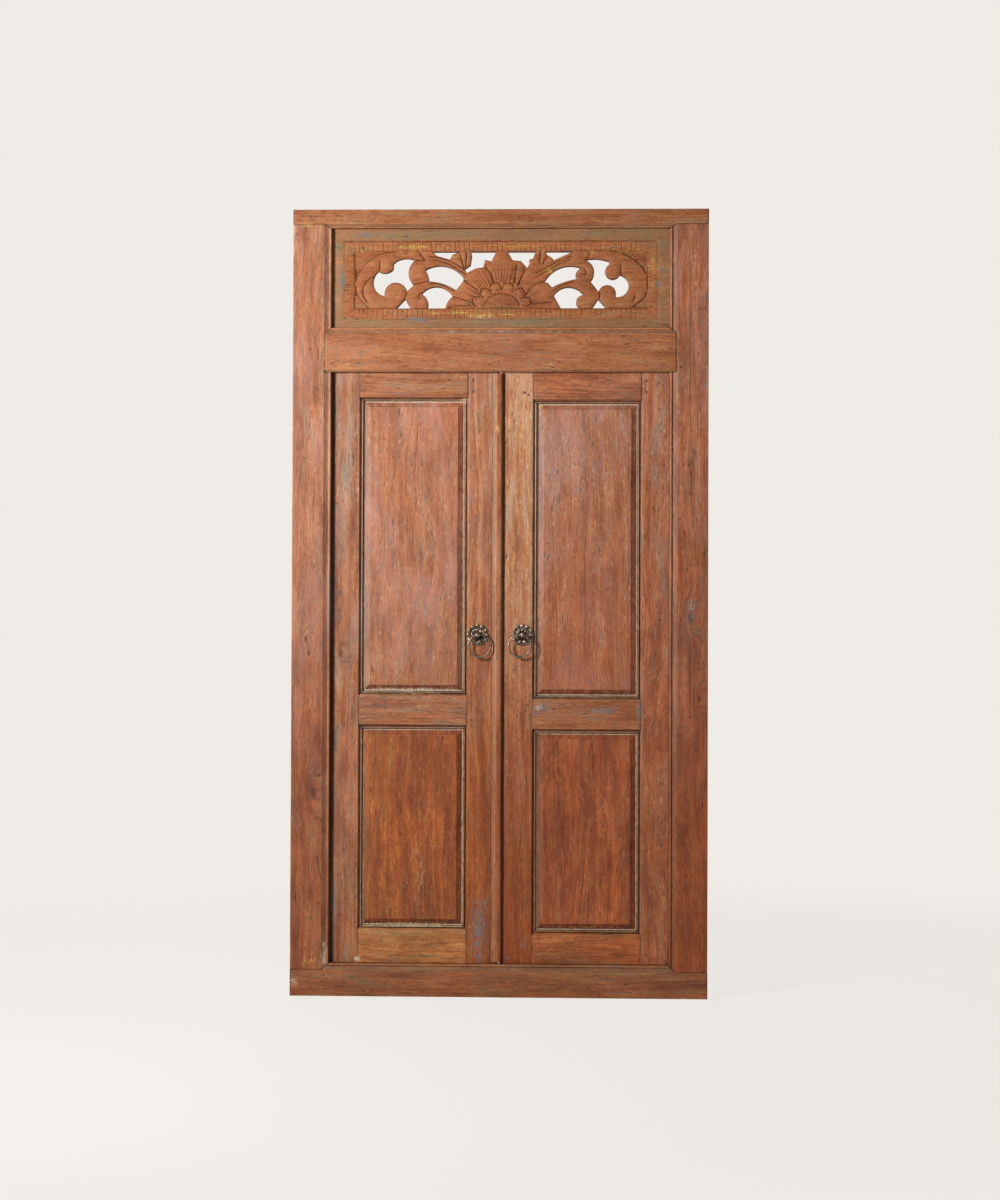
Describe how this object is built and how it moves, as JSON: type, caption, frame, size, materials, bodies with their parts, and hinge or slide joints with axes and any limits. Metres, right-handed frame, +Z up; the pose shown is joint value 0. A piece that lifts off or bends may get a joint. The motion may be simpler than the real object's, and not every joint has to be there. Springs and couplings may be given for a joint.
{
  "type": "carved double door with frame",
  "caption": "Framed double door with raised panels, a pierced carved fanlight panel above, ring pulls, and leaves that swing inwards on butt hinges.",
  "frame": {"origin": "middle of the sill's underside", "axes": "+X across the door to the right seen from the street, -Y towards the street, +Z up"},
  "size_m": [1.11, 0.0703, 2.1],
  "materials": {
    "frame_wood": "waxed old teak",
    "leaf_wood": "waxed old teak with paint remnants",
    "panel_wood": "waxed old teak with paint remnants",
    "carved_wood": "stripped teak with paint remnants",
    "peg_wood": "end grain",
    "old_brass": "darkened, bright on the high spots",
    "iron": "dark"
  },
  "bodies": {
    "frame": {"sill": "frame_wood", "head": "frame_wood", "left_jamb": "frame_wood", "right_jamb": "frame_wood", "transom_rail": "frame_wood", "carved_panel": "carved_wood", "frame_pegs": "peg_wood", "left_jamb_screws": "iron", "left_lower_jamb_plate": "iron", "left_lower_hinge_pin": "iron", "left_upper_jamb_plate": "iron", "left_upper_hinge_pin": "iron", "right_jamb_screws": "iron", "right_lower_jamb_plate": "iron", "right_lower_hinge_pin": "iron", "right_upper_jamb_plate": "iron", "right_upper_hinge_pin": "iron"},
    "left_leaf": {"cover_strip": "leaf_wood", "strip_nails": "iron", "left_hinge_stile": "leaf_wood", "left_meeting_stile": "leaf_wood", "left_top_rail": "leaf_wood", "left_mid_rail": "leaf_wood", "left_bottom_rail": "leaf_wood", "left_upper_panel": "panel_wood", "left_lower_panel": "panel_wood", "left_leaf_pegs": "peg_wood", "left_rosette": "old_brass", "left_ring_eye": "old_brass", "left_eye_washer": "iron", "left_eye_nut": "iron", "left_leaf_screws": "iron", "left_lower_leaf_plate": "iron", "left_upper_leaf_plate": "iron"},
    "right_leaf": {"right_hinge_stile": "leaf_wood", "right_meeting_stile": "leaf_wood", "right_top_rail": "leaf_wood", "right_mid_rail": "leaf_wood", "right_bottom_rail": "leaf_wood", "right_upper_panel": "panel_wood", "right_lower_panel": "panel_wood", "right_leaf_pegs": "peg_wood", "right_rosette": "old_brass", "right_ring_eye": "old_brass", "right_eye_washer": "iron", "right_eye_nut": "iron", "right_leaf_screws": "iron", "right_lower_leaf_plate": "iron", "right_upper_leaf_plate": "iron"},
    "left_ring": {"left_ring": "old_brass"},
    "right_ring": {"right_ring": "old_brass"}
  },
  "joints": [
    {"name": "right_leaf_swing", "type": "hinge", "parent": "frame", "child": "right_leaf", "pos_m": [0.46, 0.0335, 0.88], "axis": [0, 0, -1], "range_deg": [0, 110]},
    {"name": "left_leaf_swing", "type": "hinge", "parent": "frame", "child": "left_leaf", "pos_m": [-0.46, 0.0335, 0.88], "axis": [0, 0, 1], "range_deg": [0, 99.5]},
    {"name": "left_ring_lift", "type": "hinge", "parent": "left_leaf", "child": "left_ring", "pos_m": [-0.058, -0.025, 0.963], "axis": [-1, 0, 0], "range_deg": [-8, 150]},
    {"name": "right_ring_lift", "type": "hinge", "parent": "right_leaf", "child": "right_ring", "pos_m": [0.062, -0.025, 0.963], "axis": [-1, 0, 0], "range_deg": [-8, 150]}
  ],
  "couplings": [
    {"joint": "left_leaf_swing", "follows": "right_leaf_swing", "ratio": 0.9}
  ]
}
